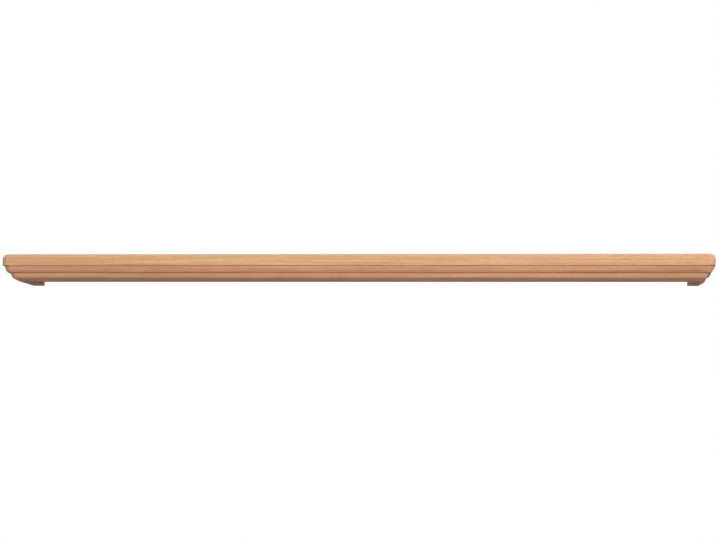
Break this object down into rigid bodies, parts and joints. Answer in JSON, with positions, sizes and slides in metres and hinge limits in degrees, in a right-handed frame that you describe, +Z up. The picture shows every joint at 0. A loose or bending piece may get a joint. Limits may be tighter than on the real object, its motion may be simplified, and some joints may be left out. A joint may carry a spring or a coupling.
{
  "type": "wall shelf",
  "caption": "Wooden wall shelf: a square-edged board over stepped, rolled edge mouldings returned to the wall, with a hanging rail and keyhole plates behind.",
  "frame": {"origin": "on the wall plane, midway along the shelf, at the height where the shanks of the two wall screws carry the keyhole plates", "axes": "+X along the shelf to the viewer's right, +Y into the wall, -Y to the front, +Z up"},
  "size_m": [1.219, 0.15, 0.0454],
  "materials": {
    "board_wood": "clear satin lacquer",
    "moulding_wood": "clear satin lacquer",
    "rail_wood": "planed, one thin coat",
    "block_wood": "sawn, unfinished",
    "plate_steel": "zinc plated",
    "screw_steel": "yellow zinc",
    "brad_steel": "bright wire",
    "wood_filler": "sanded flush"
  },
  "bodies": {
    "root": {"top_board": "board_wood", "upper_moulding_front": "moulding_wood", "upper_moulding_left_return": "moulding_wood", "upper_moulding_right_return": "moulding_wood", "lower_moulding_front": "moulding_wood", "lower_moulding_left_return": "moulding_wood", "lower_moulding_right_return": "moulding_wood", "hanging_rail": "rail_wood", "corner_block_left": "block_wood", "corner_block_right": "block_wood", "front_block_left": "block_wood", "front_block_middle": "block_wood", "front_block_right": "block_wood", "keyhole_plate_left": "plate_steel", "keyhole_plate_right": "plate_steel", "keyhole_plate_screws": "screw_steel", "rail_screws": "screw_steel", "moulding_brads": "brad_steel", "nail_hole_fillers": "wood_filler"}
  },
  "joints": []
}
